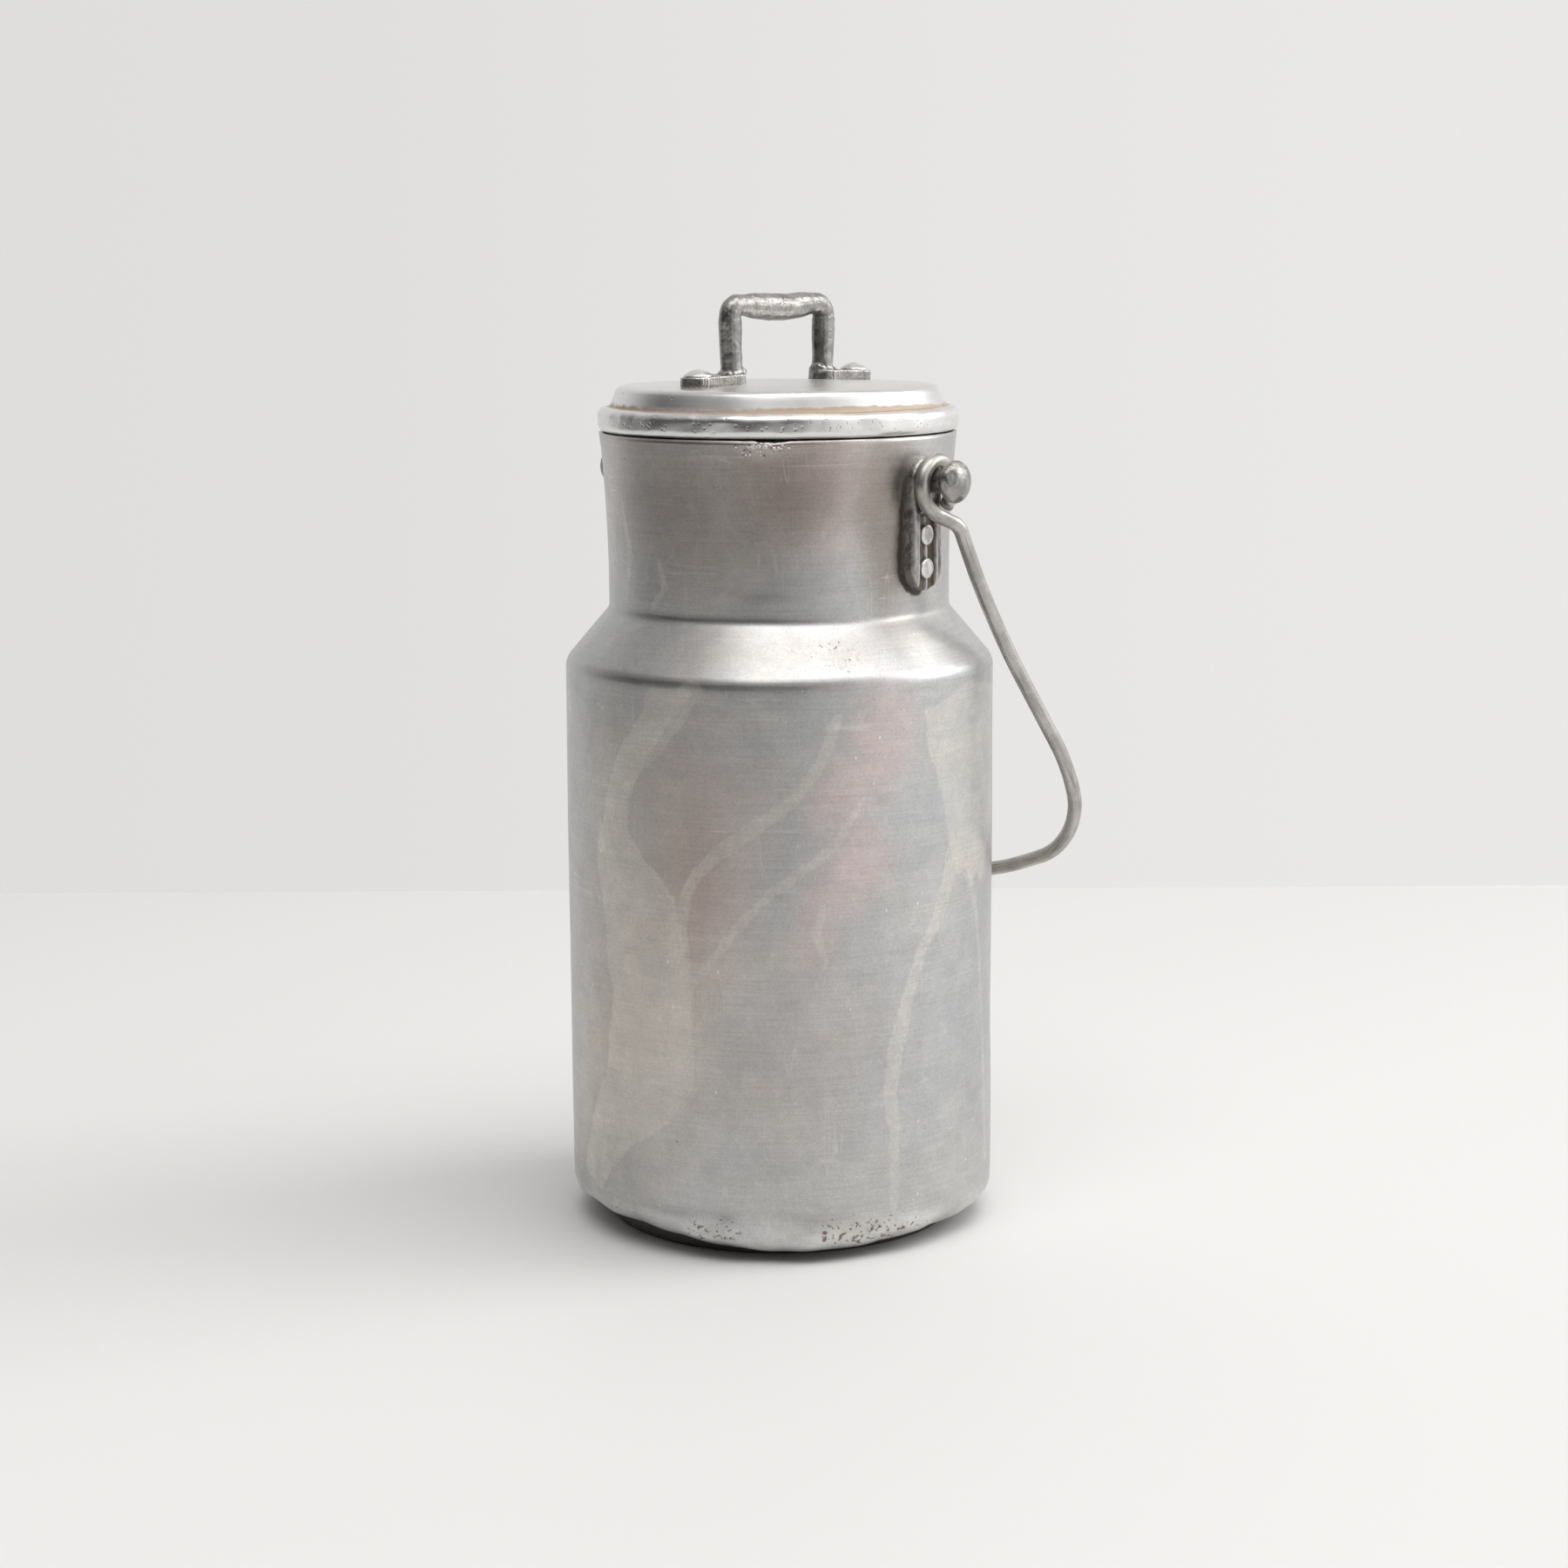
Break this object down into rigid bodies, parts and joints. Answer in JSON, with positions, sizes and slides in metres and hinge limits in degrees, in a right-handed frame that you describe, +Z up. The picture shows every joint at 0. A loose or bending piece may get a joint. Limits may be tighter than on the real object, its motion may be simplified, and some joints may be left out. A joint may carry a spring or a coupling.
{
  "type": "milk can",
  "caption": "Aluminium milk can with a narrow neck, a loose plug lid with a cast handle, riveted ears and a swinging wire bail.",
  "frame": {"origin": "the can's axis at the plane it stands on", "axes": "+Z up along the can's axis; X through the two ears, which are the bail's pivots; +Y towards the side where the bail hangs at rest"},
  "size_m": [0.1432, 0.1243, 0.2597],
  "materials": {
    "can_aluminium": "satin, brushed round, dull and stained",
    "lid_aluminium": "satin, worn bright on the bead",
    "cast_aluminium": "rough cast, dark in the hollows",
    "rivet_aluminium": "hammered, bright",
    "bail_wire": "drawn wire, dull"
  },
  "bodies": {
    "can": {"can_body": "can_aluminium", "ear_right": "cast_aluminium", "ear_left": "cast_aluminium", "ear_rivet_right_upper": "rivet_aluminium", "ear_rivet_right_lower": "rivet_aluminium", "ear_rivet_left_upper": "rivet_aluminium", "ear_rivet_left_lower": "rivet_aluminium"},
    "lid": {"lid_shell": "lid_aluminium", "lid_handle": "cast_aluminium", "handle_rivet_front": "rivet_aluminium", "handle_rivet_rear": "rivet_aluminium"},
    "bail": {"bail": "bail_wire"}
  },
  "joints": [
    {"name": "lid_lift", "type": "slide", "parent": "can", "child": "lid", "axis": [0, 0, 1], "range_m": [0, 0.06]},
    {"name": "bail_swing", "type": "hinge", "parent": "can", "child": "bail", "pos_m": [0, 0, 0.2105], "axis": [1, 0, 0], "range_deg": [0, 305.9]}
  ]
}
